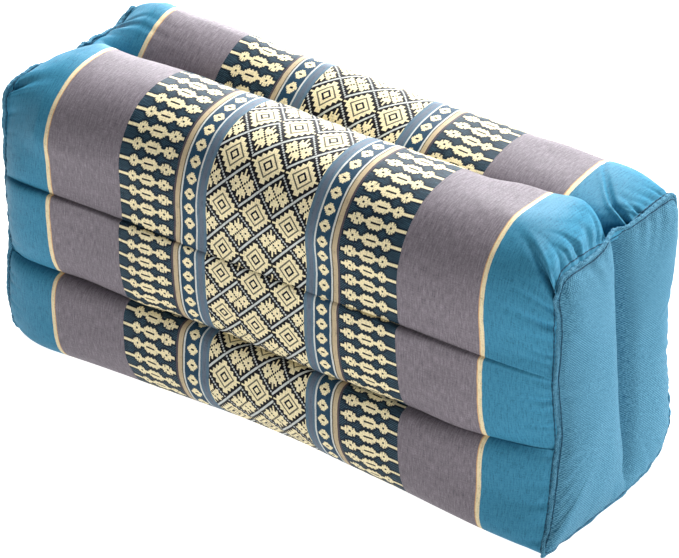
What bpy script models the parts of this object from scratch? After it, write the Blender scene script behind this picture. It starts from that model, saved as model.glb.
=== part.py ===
# Block-shaped meditation cushion: two columns of three stuffed channels in a wrap of woven cloth,
# closed at each end by a plain panel, with a raised sewn seam round each end.
# X runs along the cushion, the front faces -Y, and it stands on its long narrow side at Z = 0.

from collections import namedtuple

import bmesh
import bpy
import numpy as np

# Driving dimensions, in metres
SEAM_REACH = 0.170        # middle of the cushion to the plane of an end seam
CREST_HEIGHT = 0.1646     # floor to the top of the upper channels
GROOVE_FLOOR = 0.135      # floor to the stitches at the bottom of the top groove
PANEL_HALF_WIDTH = 0.0510 # an end panel, seam to seam, halved
PANEL_BOTTOM = 0.0032
PANEL_TOP = 0.1512
PANEL_SQUARENESS = 9.0    # how sharply the corners of an end are turned
PANEL_SPREAD = 0.055      # how much wider it is at the floor than halfway up, as a share
PANEL_WAVE = 0.025        # how much its sides swell where a stitched seam meets them
PANEL_WAVE_HEIGHT = 0.094 # the height of one such place
PANEL_WAVE_PITCH = 0.0476 # and how far below it the next one lies
PANEL_THICKNESS = 0.002
LOBE_BULGE = 0.0075       # how far the two lobes of an end stand out past its seam
CREASE_DEPTH = 0.0060     # how far the upright crease between them is drawn in
CREASE_WIDTH = 0.0065
SEAM_PULL = 0.0030        # how far the groove draws the end seam inwards
SEAM_PULL_WIDTH = 0.0080
SEAM_WIDTH = 0.0040       # the raised end seam, along X
SEAM_RISE = 0.0024        # and how far it stands out from the edge that it covers
DRAW_START = 0.128        # where the cushion begins to narrow towards its ends
GAP = 0.0003              # clearance between sewn pieces

STATIONS = 28             # sections along the cushion
PANEL_RINGS = 5           # rings of faces across an end
SEAM_SIDES = 7            # faces round the end seam

# One half of the middle section, from the stitches of the top groove round the front to those
# of the bottom groove. Each row is the point at which an arc ends: its distance out from the
# middle plane, its height, the squareness of the arc (1 is a straight line, 2 an ellipse), the
# faces along the arc, and whether the cloth runs level or upright there.
Knot = namedtuple("Knot", "name out up squareness faces heading")
HALF_SECTION = (
    Knot("groove", 0.0000, GROOVE_FLOOR, 1.0, 0, "upright"),
    Knot("inner flank", 0.0020, 0.1450, 1.0, 2, "upright"),
    Knot("crest", 0.0260, CREST_HEIGHT, 2.2, 6, "level"),
    Knot("upper channel", 0.0626, 0.1190, 2.15, 8, "upright"),
    Knot("first seam", 0.0539, 0.0971, 2.8, 4, "level"),
    Knot("middle channel", 0.0653, 0.0820, 3.6, 4, "upright"),
    Knot("second seam", 0.0512, 0.0505, 2.0, 5, "level"),
    Knot("lower channel", 0.0656, 0.0300, 2.8, 5, "upright"),
    Knot("outer edge of the base", 0.0490, 0.0000, 2.0, 6, "level"),
    Knot("inner edge of the base", 0.0080, 0.0000, 1.0, 4, "level"),
    Knot("lower flank", 0.0020, 0.0080, 2.0, 2, "upright"),
    Knot("lower groove", 0.0000, 0.0270, 1.0, 2, "upright"),
)

PANEL_HALF_HEIGHT = (PANEL_TOP - PANEL_BOTTOM) / 2
PANEL_MIDDLE = (PANEL_TOP + PANEL_BOTTOM) / 2


def remove_everything():
    for item in list(bpy.data.objects):
        bpy.data.objects.remove(item, do_unlink=True)


# Points of a quarter superellipse from one knot to the next, evenly spaced along it. Where the
# cloth is upright at the start: out = end + (start - end) * cos(a)^(2/n),
# up = start + (end - start) * sin(a)^(2/n). Where it is level, out and up change places.
def arc_points(start, end):
    angle = np.linspace(0.0, np.pi / 2, 200)
    falling = np.clip(np.cos(angle), 0.0, 1.0) ** (2 / end.squareness)
    rising = np.sin(angle) ** (2 / end.squareness)
    if start.heading == "upright":
        out = end.out + (start.out - end.out) * falling
        up = start.up + (end.up - start.up) * rising
    else:
        out = start.out + (end.out - start.out) * rising
        up = end.up + (start.up - end.up) * falling
    along = np.concatenate([[0.0], np.cumsum(np.hypot(np.diff(out), np.diff(up)))])
    wanted = np.linspace(0.0, along[-1], end.faces + 1)[1:]
    return np.column_stack([np.interp(wanted, along, out), np.interp(wanted, along, up)])


# The closed middle section as Y and Z: down the front, then up the back
def middle_section():
    first = HALF_SECTION[0]
    half = [np.array([[first.out, first.up]])]
    for start, end in zip(HALF_SECTION, HALF_SECTION[1:]):
        half.append(arc_points(start, end))
    half = np.vstack(half)
    front = half * (-1, 1)
    back = half[-2:0:-1]
    return np.vstack([front, back])


# How an end's width changes with height, as a factor: 1 - spread * (z - middle) / half height
# + wave * cos(2 pi (z - wave height) / pitch)
def end_width(up):
    lower = (up - PANEL_MIDDLE) / PANEL_HALF_HEIGHT
    turn = 2 * np.pi * (up - PANEL_WAVE_HEIGHT) / PANEL_WAVE_PITCH
    return 1 - PANEL_SPREAD * lower + PANEL_WAVE * np.cos(turn)


# The outline of an end, on the same rays from its middle as the points of a section:
# r = 1 / ((|cos|/a)^m + (|sin|/b)^m)^(1/m), with both half sizes grown by spare, and the
# points then moved outwards or inwards by end_width
def end_outline(section, spare=0.0):
    ray = section - (0.0, PANEL_MIDDLE)
    ray = ray / np.hypot(ray[:, 0], ray[:, 1])[:, None]
    wide = np.abs(ray[:, 0]) / (PANEL_HALF_WIDTH + spare)
    high = np.abs(ray[:, 1]) / (PANEL_HALF_HEIGHT + spare)
    reach = (wide ** PANEL_SQUARENESS + high ** PANEL_SQUARENESS) ** (-1 / PANEL_SQUARENESS)
    outline = ray * reach[:, None] + (0.0, PANEL_MIDDLE)
    outline[:, 0] *= end_width(outline[:, 1])
    return outline


# How far the end seam lies inside its plane at a distance across the cushion:
# pull * exp(-(y / width)^2)
def seam_pull(across):
    return SEAM_PULL * np.exp(-(across / SEAM_PULL_WIDTH) ** 2)


# How far a section has narrowed from the middle one (0) to the end outline (1):
# 1 - (1 - t^2.4)^0.6, with t from the start of the narrowing to the seam's inner side
def narrowing(distance, last):
    t = np.clip((distance - DRAW_START) / (last - DRAW_START), 0.0, 1.0)
    return 1 - (1 - t ** 2.4) ** 0.6


# X of the body's end face: two upright lobes with a crease between them
def end_face(across, up, rim):
    u = np.clip(np.abs(across) / (PANEL_HALF_WIDTH * end_width(up)), 0.0, 1.0)
    v = np.clip(np.abs(up - PANEL_MIDDLE) / PANEL_HALF_HEIGHT, 0.0, 1.0)
    lobes = LOBE_BULGE * np.sin(np.pi * u) ** 0.8 * (1 - v ** 3)
    crease = CREASE_DEPTH * np.exp(-(across / CREASE_WIDTH) ** 2) * (1 - v ** 5)
    return rim - seam_pull(across) + lobes - crease


# Rings of points across an end, from its outline inwards, and its middle point last
def end_points(outline, rim):
    rings = []
    for share in np.linspace(1.0, 0.0, PANEL_RINGS + 1)[:-1]:
        ring = (outline - (0.0, PANEL_MIDDLE)) * share + (0.0, PANEL_MIDDLE)
        rings.append(np.column_stack([end_face(ring[:, 0], ring[:, 1], rim), ring]))
    middle = np.array([0.0, PANEL_MIDDLE])
    return rings, np.concatenate([[end_face(middle[0], middle[1], rim)], middle])


# A closed body from a chain of loops of points, each end closed by a point or, where the
# chain is a ring, by joining the last loop to the first
def loft(name, loops, first_point=None, last_point=None, ring=False):
    count = len(loops[0])
    points = np.vstack(loops)
    faces = []
    pairs = list(zip(range(len(loops) - 1), range(1, len(loops))))
    if ring:
        pairs.append((len(loops) - 1, 0))
    for low, high in pairs:
        for i in range(count):
            j = (i + 1) % count
            faces.append((low * count + i, low * count + j, high * count + j, high * count + i))
    for point, loop in ((first_point, 0), (last_point, len(loops) - 1)):
        if point is not None:
            points = np.vstack([points, point])
            tip = len(points) - 1
            faces += [(loop * count + i, loop * count + (i + 1) % count, tip) for i in range(count)]
    mesh = bpy.data.meshes.new(name)
    mesh.from_pydata(points.tolist(), [], faces)
    form = bmesh.new()
    form.from_mesh(mesh)
    bmesh.ops.triangulate(form, faces=form.faces)
    bmesh.ops.recalc_face_normals(form, faces=form.faces)
    form.to_mesh(mesh)
    form.free()
    mesh.shade_smooth()
    return bpy.data.objects.new(name, mesh)


def cloth(name, colour, roughness):
    material = bpy.data.materials.new(name)
    material.use_nodes = True
    surface = material.node_tree.nodes["Principled BSDF"]
    surface.inputs["Base Color"].default_value = (*colour, 1.0)
    surface.inputs["Roughness"].default_value = roughness
    surface.inputs["Metallic"].default_value = 0.0
    return material


# The filled body: sections along X, each between the middle section and the end outline,
# then both lobed end faces
def make_body(section, edge):
    outline = end_outline(section)
    inner_side = SEAM_REACH - SEAM_WIDTH / 2 - GAP
    steps = np.linspace(-1.0, 1.0, STATIONS)
    stations = np.sign(steps) * inner_side * (1 - (1 - np.abs(steps)) ** 1.7)
    loops = []
    for place in stations:
        share = narrowing(abs(place), inner_side)
        flat = section * (1 - share) + outline * share
        along = place - np.sign(place) * seam_pull(flat[:, 0]) * share
        loops.append(np.column_stack([along, flat]))
    rings, middle = end_points(outline, edge)
    right = loops + rings
    left = [loop * (-1, 1, 1) for loop in reversed(rings)]
    return loft("cushion_body", left + right, middle * (-1, 1, 1), middle)


# A thin panel that follows an end face, a gap outside it
def make_panel(name, side, section, edge):
    outline = end_outline(section)
    inside, inside_middle = end_points(outline, edge + GAP)
    outside, outside_middle = end_points(outline, edge + GAP + PANEL_THICKNESS)
    mirror = (side, 1, 1)
    loops = [loop * mirror for loop in reversed(inside)] + [loop * mirror for loop in outside]
    return loft(name, loops, inside_middle * mirror, outside_middle * mirror)


# The raised seam: a roll of cloth with an oval section that covers the joint between the wrap
# and an end panel
def make_seam(name, side, section):
    loops = []
    for turn in np.linspace(0.0, 2 * np.pi, SEAM_SIDES, endpoint=False):
        outline = end_outline(section, GAP + (0.5 + 0.5 * np.sin(turn)) * SEAM_RISE)
        place = SEAM_REACH + 0.5 * np.cos(turn) * SEAM_WIDTH - seam_pull(outline[:, 0])
        loops.append(np.column_stack([place, outline]) * (side, 1, 1))
    return loft(name, loops, ring=True)


def main():
    remove_everything()
    parts = bpy.data.collections.new("meditation_cushion")
    bpy.context.scene.collection.children.link(parts)
    section = middle_section()
    edge = SEAM_REACH - PANEL_THICKNESS / 2 - GAP
    wrap = cloth("wrap cloth", (0.30, 0.29, 0.30), 0.85)
    plain = cloth("plain end cloth", (0.06, 0.26, 0.42), 0.85)
    thread = cloth("seam thread", (0.05, 0.20, 0.33), 0.80)
    pieces = [(make_body(section, edge), wrap)]
    for side, word in ((-1, "left"), (1, "right")):
        pieces.append((make_panel("end_panel_" + word, side, section, edge), plain))
        pieces.append((make_seam("seam_" + word, side, section), thread))
    for piece, material in pieces:
        piece.data.materials.append(material)
        parts.objects.link(piece)


main()
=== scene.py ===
import math
from collections import namedtuple

import bpy
import numpy as np
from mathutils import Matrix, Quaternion, Vector


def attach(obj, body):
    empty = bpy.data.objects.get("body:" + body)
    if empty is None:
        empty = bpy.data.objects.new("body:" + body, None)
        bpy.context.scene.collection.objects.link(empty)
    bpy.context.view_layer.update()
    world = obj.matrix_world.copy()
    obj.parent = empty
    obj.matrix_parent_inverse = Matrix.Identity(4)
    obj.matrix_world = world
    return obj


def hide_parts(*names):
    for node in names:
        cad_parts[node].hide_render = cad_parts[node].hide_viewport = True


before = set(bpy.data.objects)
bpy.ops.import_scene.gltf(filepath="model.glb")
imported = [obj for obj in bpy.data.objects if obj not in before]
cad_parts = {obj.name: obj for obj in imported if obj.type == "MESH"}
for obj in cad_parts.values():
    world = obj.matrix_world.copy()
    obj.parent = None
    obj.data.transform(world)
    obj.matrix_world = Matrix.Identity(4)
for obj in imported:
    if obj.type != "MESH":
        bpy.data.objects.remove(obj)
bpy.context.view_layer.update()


# The camera stands where the photograph was taken from: above the front right corner

view = dict(
    azimuth=38.479,      # degrees round from straight in front
    elevation=30.579,
    roll=-1.363,
    target=(0.0236, -0.02725, 0.0892),
    distance=2.0528,
    focal=4160.0,        # in pixels of the 679 by 558 picture
    pictureWidth=679,
    sensor=36.0,
)


# Unit vector from the target to the camera: (sin a cos e, -cos a cos e, sin e)
def makeCamera():
    azimuth = math.radians(view["azimuth"])
    elevation = math.radians(view["elevation"])
    back = Vector((
        math.sin(azimuth) * math.cos(elevation),
        -math.cos(azimuth) * math.cos(elevation),
        math.sin(elevation),
    ))
    data = bpy.data.cameras.new("camera")
    data.sensor_width = view["sensor"]
    data.lens = view["focal"] / view["pictureWidth"] * view["sensor"]
    data.clip_start = 0.01
    data.clip_end = 50.0
    camera = bpy.data.objects.new("camera", data)
    bpy.context.scene.collection.objects.link(camera)
    camera.location = Vector(view["target"]) + back * view["distance"]
    camera.rotation_mode = "QUATERNION"
    level = (-back).to_track_quat("-Z", "Y")
    camera.rotation_quaternion = level @ Quaternion((0, 0, 1), math.radians(view["roll"]))
    bpy.context.scene.camera = camera


makeCamera()
bpy.context.scene.view_settings.view_transform = "Standard"  # as the studio photograph's own
print("camera placed")


# The form of the cushion: each half of the middle section as knots, then the outline of an end

Knot = namedtuple("Knot", "name out up squareness heading")
crests = {
    "front": (
        Knot("groove", 0.0000, 0.1350, 1.0, "upright"),
        Knot("inner flank", 0.0015, 0.1500, 1.0, "upright"),
        Knot("crest", 0.0240, 0.1655, 2.8, "level"),
        Knot("upper channel", 0.0626, 0.1190, 2.2, "upright"),
    ),
    "back": (
        Knot("groove", 0.0000, 0.1350, 1.0, "upright"),
        Knot("inner flank", 0.0020, 0.1500, 1.0, "upright"),
        Knot("crest", 0.0380, 0.1613, 2.6, "level"),
        Knot("upper channel", 0.0626, 0.1190, 1.95, "upright"),
    ),
}
below = (
    Knot("first seam", 0.0610, 0.1003, 3.2, "level"),
    Knot("middle channel", 0.0653, 0.0820, 5.0, "upright"),
    Knot("second seam", 0.0545, 0.0520, 2.2, "level"),
    Knot("lower channel", 0.0656, 0.0300, 3.4, "upright"),
    Knot("outer edge of the base", 0.0490, 0.0000, 2.0, "level"),
    Knot("inner edge of the base", 0.0080, 0.0000, 1.0, "level"),
    Knot("lower flank", 0.0020, 0.0080, 2.0, "upright"),
    Knot("lower groove", 0.0000, 0.0270, 1.0, "upright"),
)

end = dict(
    middle=0.0770,                    # height of the middle of an end
    reach={1: 0.1700, -1: 0.1722},    # from the middle of the cushion to the plane of an end seam
    lobeBulge={"front": 0.0100, "back": 0.0105},
    pull={1: 0.0030, -1: 0.0088},     # how far the groove draws the end seam in
    pullWidth={1: 0.0080, -1: 0.0140},
    drawStart={"front": {1: 0.070, -1: 0.140}, "back": {1: 0.132, -1: 0.132}},   # where it begins to narrow
    crestStart={1: 0.135, -1: 0.142},  # the same, along the crests
    crestRamp={1: 0.0, -1: 1.0},      # how straight the crests run down to the end seam
)

# Outline of the right end (1) and the left one (-1) in millimetres, as (y, z) from the groove
# down the front, along the floor and up the back
endPath = {
    1: (
        (0.0, 150.8), (-6.0, 150.2), (-14.0, 149.2), (-25.0, 148.6), (-38.0, 149.2), (-45.0, 148.0),
        (-48.8, 144.2), (-49.6, 137.0), (-47.6, 126.0), (-48.3, 108.0), (-50.0, 95.0), (-48.3, 78.0),
        (-47.0, 62.0), (-49.5, 47.0), (-52.0, 30.0), (-55.6, 14.0), (-59.2, 6.5), (-59.8, 1.8),
        (-56.0, 0.6), (-30.0, 0.5), (0.0, 0.8), (17.0, 2.4), (29.0, 5.0), (37.0, 8.6), (42.6, 14.5),
        (45.2, 23.0), (45.2, 35.0), (42.8, 55.0), (41.8, 75.0), (41.2, 97.0), (44.0, 110.0),
        (47.2, 122.0), (48.6, 133.0), (48.6, 143.0), (47.7, 148.6), (45.0, 151.4), (35.0, 151.8),
        (20.0, 151.2), (9.0, 150.4),
    ),
    -1: (
        (0.0, 150.8), (-8.0, 147.0), (-17.0, 146.2), (-28.0, 147.0), (-38.0, 146.5), (-45.0, 145.0),
        (-49.6, 142.2), (-51.3, 137.0), (-51.7, 130.0), (-52.6, 120.0), (-53.0, 108.0), (-53.4, 96.0),
        (-53.5, 85.0), (-53.0, 73.0), (-53.3, 61.0), (-54.5, 50.0), (-56.8, 39.0), (-57.2, 27.0),
        (-56.2, 19.0), (-54.8, 12.0), (-52.5, 6.0), (-47.0, 1.5), (-38.0, 0.6), (0.0, 0.5),
        (30.0, 0.8), (40.0, 3.5), (45.5, 10.0), (48.0, 20.0), (48.5, 35.0), (47.0, 55.0), (46.5, 80.0),
        (47.5, 100.0), (50.0, 120.0), (52.0, 135.0), (52.6, 143.5), (51.6, 148.8), (47.5, 148.2),
        (42.0, 144.8), (32.0, 142.8), (20.0, 144.8), (9.0, 148.0),
    ),
}

# How the middle section changes along the cushion. Each pair is a place, from the left end (-172)
# to the right one (172), and the change there, in millimetres.

# How much higher the crest of the back column lies
backCrest = (
    (-172, 7.2), (-150, 6.9), (-134, 3.4), (-124, 2.5), (-111, 0.8), (-87, 0.5), (-50, 0.2), (-36, 1.4),
    (-11, 1.5), (20, -0.4), (37, -1.6), (54, 0.9), (70, 0.2), (110, 0.2), (134, -0.9), (172, -0.5),
)

# How much higher the crest of the front column lies
frontCrest = (
    (-172, -1.0), (-134, -1.6), (-87, -0.4), (-50, 0.5), (0, 0.4), (50, -0.4), (87, -0.3), (134, -1.2),
    (152, 1.2), (164, 3.5), (172, 3.0),
)

# How much lower the back column lies beside the groove
innerDrop = (
    (-172, 8.0), (-134, 11.5), (-37, 11.0), (0, 8.0), (37, 4.0), (50, 2.5), (87, 2.2), (134, 0.3),
    (172, 0.0),
)

# How far the outer shoulder of the front column stands further out
shoulder = (
    (-172, 0.0), (-150, 1.5), (-134, 2.3), (-87, 0.5), (-50, 0.0), (0, 1.0), (37, 2.0), (50, 2.3),
    (87, 0.8), (134, -1.8), (172, 0.0),
)

# The inner side of the front column near the right end: how much of its way to the groove it
# closes, in thousandths, how far it then leans to the back, and how far the back column's inner
# side gives way to it
closing = ((-172, 0.0), (95, 0.0), (125, 850.0), (152, 750.0), (172, 0.0))
leaning = ((-172, 0.0), (138, 0.0), (154, 6.0), (166, 9.0), (172, 5.0))
hollow = ((-172, 0.0), (156, 0.0), (167, 7.0), (172, 6.0))

# How much higher the floor of the groove lies
filling = ((-172, 0.0), (95, 0.0), (118, 9.0), (144, 10.0), (154, 2.0), (160, 0.0), (172, 0.0))

# How far the lower edges of both columns stand further out
lowerEdge = (
    (-172, 5.0), (-150, 2.5), (-120, -0.5), (-80, -2.5), (-30, -6.0), (20, -5.0), (50, -2.5), (80, -0.6),
    (110, 3.0), (140, 7.5), (172, 12.0),
)

# Where on the section these changes act, in metres: each sets in over a pair of heights. Where
# there are two pairs, the first is of distances from the groove and the second of heights.
zones = dict(
    grooveFloor=0.135,
    grooveHalf=0.004,
    backCrest=(0.128, 0.155),
    frontCrest=(0.140, 0.160),
    innerReach=0.040,               # from the groove, how far the back column's inner side goes
    innerScale=0.026,
    leastRise=0.25,                 # share of its height above the groove that it always keeps
    backFlank=((0.006, 0.016), (0.134, 0.142)),
    frontFlank=((0.008, 0.026), (0.135, 0.150)),
    shoulder=((0.024, 0.045), (0.119, 0.135)),
    lowerEdge=((0.012, 0.040), (0.0, 0.030)),
    seamBand=((0.080, 0.086), (0.113, 0.119)),   # both heights, below and above the first seam
    seamFront=(0.0620, 0.075),      # how far out the filled seam stands at the top, and its slope
    figured=(0.040, 0.090),         # distances along the cushion, over which the filled seam ends
    arch=((0.015, 0.050), (-0.145, -0.110)),     # both heights, the second pair counted downwards
)


# The six stuffed channels, three to a side. first and last are knots of the half section, cloth
# is the length of cloth from seam to seam, and rows is the number of steps of the mesh over it
Channel = namedtuple("Channel", "name first last cloth rows")
channels = (
    Channel("upper", 0, 4, 0.1386, 172),
    Channel("middle", 4, 6, 0.0617, 78),
    Channel("lower", 6, 11, 0.1386, 156),
)
columns = 250    # of the mesh, along the cushion


# A quarter superellipse between two knots: out = end + (start - end) cos(a)^(2/n),
# up = start + (end - start) sin(a)^(2/n), or the other way about where the cloth starts level
def arcPoints(start, finish, count=400):
    angle = np.linspace(0.0, np.pi / 2, count)
    falling = np.clip(np.cos(angle), 0.0, 1.0) ** (2 / finish.squareness)
    rising = np.sin(angle) ** (2 / finish.squareness)
    if start.heading == "upright":
        out = finish.out + (start.out - finish.out) * falling
        up = start.up + (finish.up - start.up) * rising
    else:
        out = start.out + (finish.out - start.out) * rising
        up = finish.up + (start.up - finish.up) * falling
    return np.column_stack([out, up])


# The same path with its points evenly spaced along it: each new point lies at an equal share
# of the summed lengths of the steps
def evenlySpaced(path, count):
    steps = np.linalg.norm(np.diff(path, axis=0), axis=1)
    along = np.concatenate([[0.0], np.cumsum(steps)])
    wanted = np.linspace(0.0, along[-1], count)
    return np.column_stack([np.interp(wanted, along, path[:, k]) for k in range(path.shape[1])])


def channelSection(channel, side):
    knots = (crests[side] + below)[channel.first:channel.last + 1]
    arcs = [arcPoints(start, finish) for start, finish in zip(knots, knots[1:])]
    return evenlySpaced(np.vstack(arcs), channel.rows + 1)


# A closed smooth curve through points: for each four in a row, half of 2b + (c - a) t
# + (2a - 5b + 4c - d) t^2 + (3b - a - 3c + d) t^3
def smoothLoop(points, steps=24):
    b = np.asarray(points, float)
    a, c, d = np.roll(b, 1, axis=0), np.roll(b, -1, axis=0), np.roll(b, -2, axis=0)
    t = np.arange(steps)[None, :, None] / steps
    a, b, c, d = (part[:, None, :] for part in (a, b, c, d))
    curve = 2 * b + (c - a) * t + (2 * a - 5 * b + 4 * c - d) * t ** 2 + (3 * b - a - 3 * c + d) * t ** 3
    return 0.5 * curve.reshape(-1, 2)


endCurve = {endSign: smoothLoop(path) / 1000.0 for endSign, path in endPath.items()}


# Points of the end outline (y, z) on the rays from its middle through the given points: the
# curve's distance from the middle at each ray's angle
def endOutline(points, endSign):
    curve = endCurve[endSign] - (0.0, end["middle"])
    ray = points - (0.0, end["middle"])
    angle = np.arctan2(ray[:, 0], ray[:, 1])
    reach = np.interp(angle, np.arctan2(curve[:, 0], curve[:, 1]), np.hypot(*curve.T), period=2 * np.pi)
    return np.column_stack([np.sin(angle) * reach, np.cos(angle) * reach + end["middle"]])


# How far the groove draws the end seam in: pull * exp(-(y / width)^2), less and less down
# towards the floor
def seamPull(across, up, endSign):
    fade = smoothStep(up, 0.012, 0.080)
    return end["pull"][endSign] * fade * np.exp(-(across / end["pullWidth"][endSign]) ** 2)


# From the middle section (0) to the end outline (1): 1 - (1 - t^2.4)^0.6, but along the crests
# of the left end nearly straight, t^1.2
def narrowing(distance, up, endSign, side):
    crest = smoothStep(up, 0.100, 0.145)
    start = end["drawStart"][side][endSign]
    start = start + (end["crestStart"][endSign] - start) * crest
    t = np.clip((distance - start) / (end["reach"][endSign] - start), 0.0, 1.0)
    straight = crest * end["crestRamp"][endSign]
    return (1 - (1 - t ** 2.4) ** 0.6) * (1 - straight) + t ** 1.2 * straight


# A value that changes smoothly from knot to knot: straight pieces averaged over a moving window
def along(knots, x, window=0.014):
    places, values = np.array(knots, float).T / 1000.0
    shifts = np.linspace(-window, window, 9)
    return sum(np.interp(x + shift, places, values) for shift in shifts) / len(shifts)


# A smooth step from 0 at low to 1 at high: t^2 (3 - 2t)
def smoothStep(value, low, high):
    t = np.clip((value - low) / (high - low), 0.0, 1.0)
    return t * t * (3 - 2 * t)


# Gentle unevenness: a sum of sine waves of random directions and phases, each about the
# given length, scaled to lie mostly between -1 and 1
def unevenness(x, p, length, seed, count=9):
    chance = np.random.default_rng(seed)
    total = np.zeros(np.broadcast(x, p).shape)
    for _ in range(count):
        turn = chance.uniform(0.0, 2 * np.pi)
        pace = 2 * np.pi / (length * chance.uniform(0.7, 1.5))
        phase = chance.uniform(0.0, 2 * np.pi)
        total += np.sin(pace * (x * np.cos(turn) + p * np.sin(turn)) + phase)
    return total / math.sqrt(count)


# Unit normals of a grid of points: the cross product of its two gradients
def gridNormals(points):
    alongColumns = np.gradient(points, axis=0)
    alongRows = np.gradient(points, axis=1)
    normal = np.cross(alongRows, alongColumns)
    return normal / np.maximum(np.linalg.norm(normal, axis=2), 1e-12)[:, :, None]


# Each face of a grid of numbered points, as its four corners
def quads(index, flip):
    a, b = index[:-1, :-1].ravel(), index[:-1, 1:].ravel()
    c, d = index[1:, 1:].ravel(), index[1:, :-1].ravel()
    return np.column_stack([a, d, c, b] if flip else [a, b, c, d])


# A mesh from a grid of points, with its faces turned outwards, and one UV map for each
# entry of maps, whose values are grids of (u, v). A closed piece's UVs have one more column
def gridPiece(name, points, maps, flip=False, closed=False):
    rows, count = points.shape[:2]
    index = np.arange(rows * count).reshape(rows, count)
    corners = quads(index, flip)
    if closed:
        index = np.column_stack([index, index[:, 0]])
        corners = quads(np.arange(index.size).reshape(index.shape), flip)
    mesh = bpy.data.meshes.new(name)
    mesh.from_pydata(points.reshape(-1, 3).tolist(), [], quads(index, flip).tolist())
    for mapName, grid in maps.items():
        layer = mesh.uv_layers.new(name=mapName)
        places = grid.reshape(-1, 2)[corners.ravel()]
        layer.uv.foreach_set("vector", places.ravel().astype(np.float32))
    mesh.update()
    mesh.shade_smooth()
    piece = bpy.data.objects.new(name, mesh)
    bpy.context.scene.collection.objects.link(piece)
    return piece


# Each kind of chance has its own seed
seeds = dict(
    gathers=11,
    swell=3,
    ripple=4,
    panelWrinkle=8,
    panelSwell=9,
    panelGathers=51,
    rollRise=21,
    rollSway=31,
)


# The channels of the wrap

folds = dict(
    swell=0.0007,            # slow unevenness of the filling
    swellLength=0.085,
    ripple=0.00022,          # shorter dents in the cloth
    rippleLength=0.026,
    edgeFree=0.006,          # this far from a stitched seam and further, the cloth moves freely
    endFree=0.012,           # the same for an end seam
    floorFree=(0.0005, 0.012),
    seamArch=0.0020,         # how much higher the front seams lie at the middle than at the ends
    seamFill=0.9,            # share of the first seam's dip that is filled across the figured middle
    puckerSpacing=0.0085,    # average distance between gathers at an end seam
    puckerDepth=0.0010,
    puckerWidth=0.0019,
    puckerLength=0.0085,
    puckerEnds=(0.004, 0.335),   # first and last place of a gather, down the cloth
    valley=0.0007,           # how far the cloth dips beside the roll of an end seam
    valleyPlace=0.0020,
    valleyWidth=0.0011,
    stitchPit=0.0002,        # dips at the stitches of the seams that part the channels
    pitPlace=0.0014,
    pitWidth=0.0010,
    stitch=0.0032,
    dipFree=0.0012,          # how close to such a seam the dips begin
    dipHeights=(0.020, 0.035),   # there are none below, on the floor
)

# Single gathers and tucks, where the photograph shows them: the side, the end (1 is the right
# one), how far down the cloth from the groove at the end seam, then depth, half width and length,
# and how far it slants down the cloth for each step away from the seam
Tuck = namedtuple("Tuck", "side endSign p depth width length slant")
tucks = (
    Tuck("front", 1, 0.0244, 0.0020, 0.0015, 0.0090, 0.97),
    Tuck("front", 1, 0.0438, 0.0026, 0.0014, 0.0075, 0.94),
    Tuck("front", 1, 0.0525, 0.0014, 0.0013, 0.0060, 1.00),
    Tuck("front", 1, 0.0340, 0.0012, 0.0016, 0.0100, 0.95),
    Tuck("front", 1, 0.0812, 0.0085, 0.0024, 0.0120, -0.50),
    Tuck("front", 1, 0.0725, -0.0022, 0.0050, 0.0110, -0.30),
    Tuck("front", 1, 0.0935, 0.0010, 0.0016, 0.0120, 0.0),
    Tuck("front", 1, 0.1050, 0.0014, 0.0022, 0.0150, 0.0),
    Tuck("front", 1, 0.1241, 0.0010, 0.0014, 0.0080, 0.0),
    Tuck("front", 1, 0.1433, 0.0009, 0.0016, 0.0100, 0.0),
    Tuck("front", 1, 0.1600, 0.0016, 0.0018, 0.0080, 0.0),
    Tuck("back", 1, 0.0158, 0.0065, 0.0017, 0.0180, 1.30),
    Tuck("back", 1, 0.0300, 0.0012, 0.0018, 0.0080, 0.9),
    Tuck("back", -1, 0.0495, 0.0017, 0.0017, 0.0240, 0.0),
    Tuck("back", -1, 0.0430, 0.0014, 0.0016, 0.0260, 0.0),
    Tuck("front", -1, 0.0700, 0.0034, 0.0036, 0.0150, 0.0),
)


# Gathers along an end seam: the depth falls as exp(-(p - place)^2 / width^2) across each and
# as exp(-(distance / length)^1.6) along it. A tuck has a lower ridge beside it, 2 widths up
def gathers(p, distance, endSign, side):
    chance = np.random.default_rng(seeds["gathers"] + (endSign > 0) + 2 * (side == "back"))
    total = np.zeros(np.broadcast(p, distance).shape)
    place, last = folds["puckerEnds"]
    while place < last:
        depth = folds["puckerDepth"] * chance.uniform(0.25, 1.15)
        width = folds["puckerWidth"] * chance.uniform(0.7, 1.4)
        length = folds["puckerLength"] * chance.uniform(0.6, 1.6)
        total += depth * np.exp(-((p - place) / width) ** 2) * np.exp(-(distance / length) ** 1.6)
        place += folds["puckerSpacing"] * chance.uniform(0.55, 1.5)
    for tuck in tucks:
        if tuck.side == side and tuck.endSign == endSign:
            away = (p - tuck.p - tuck.slant * distance) / tuck.width
            across = np.exp(-away ** 2) - 0.4 * np.exp(-(away + 2.0) ** 2)
            total += tuck.depth * across * np.exp(-(distance / tuck.length) ** 1.6)
    return total


# Where the columns of the mesh stand along the cushion, closer together towards its ends:
# x = sign(t) reach (1 - (1 - |t|)^1.25)
def columnPlaces():
    t = np.linspace(-1.0, 1.0, columns)
    reach = np.where(t < 0, end["reach"][-1], end["reach"][1])
    return np.sign(t) * reach * (1 - (1 - np.abs(t)) ** 1.25)


# 1 at the middle and 0 at the ends: 1 - (x / reach)^2
def archShape(x):
    return 1 - (x / end["reach"][1]) ** 2


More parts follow.
